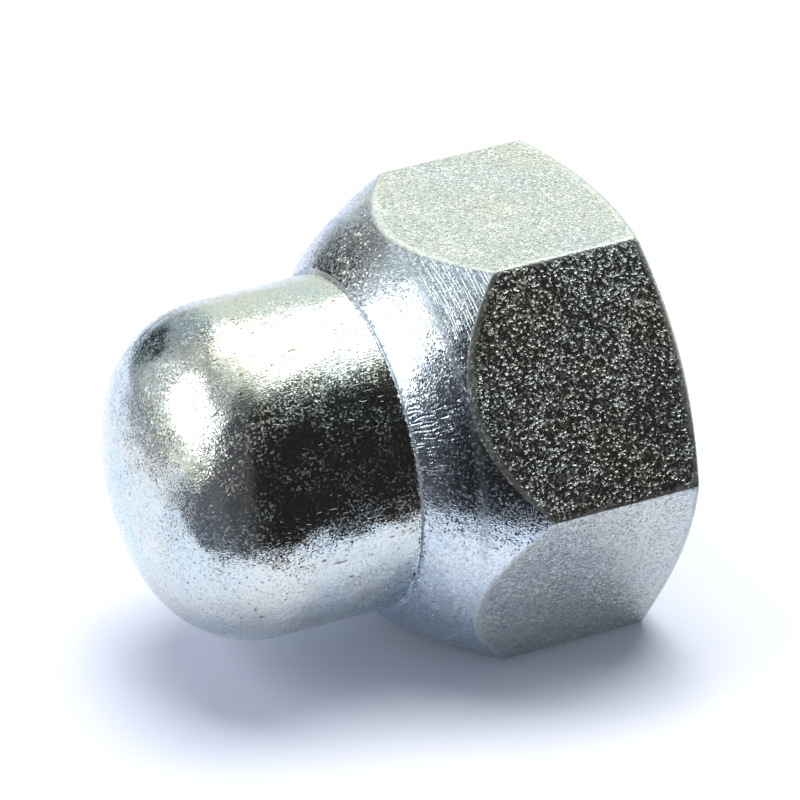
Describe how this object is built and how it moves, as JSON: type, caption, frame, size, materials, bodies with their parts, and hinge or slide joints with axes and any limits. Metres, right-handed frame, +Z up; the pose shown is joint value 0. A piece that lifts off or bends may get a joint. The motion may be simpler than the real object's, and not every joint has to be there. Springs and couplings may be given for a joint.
{
  "type": "cap nut",
  "caption": "Domed cap nut: a chamfered hexagon body with a rounded shoulder, a straight barrel and a flattened dome, closed over a blind threaded hole.",
  "frame": {"origin": "on the surface that the nut lies on, under the middle of its length and of its width", "axes": "+X along the thread's axis, out of the hole's mouth; the dome points to -X; +Z up, square to the flat that the nut lies on"},
  "size_m": [0.023, 0.022, 0.019],
  "materials": {
    "zinc_plated_steel": "electro zinc plated and clear blue passivated, as formed and turned"
  },
  "bodies": {
    "root": {"cap_nut": "zinc_plated_steel"}
  },
  "joints": []
}
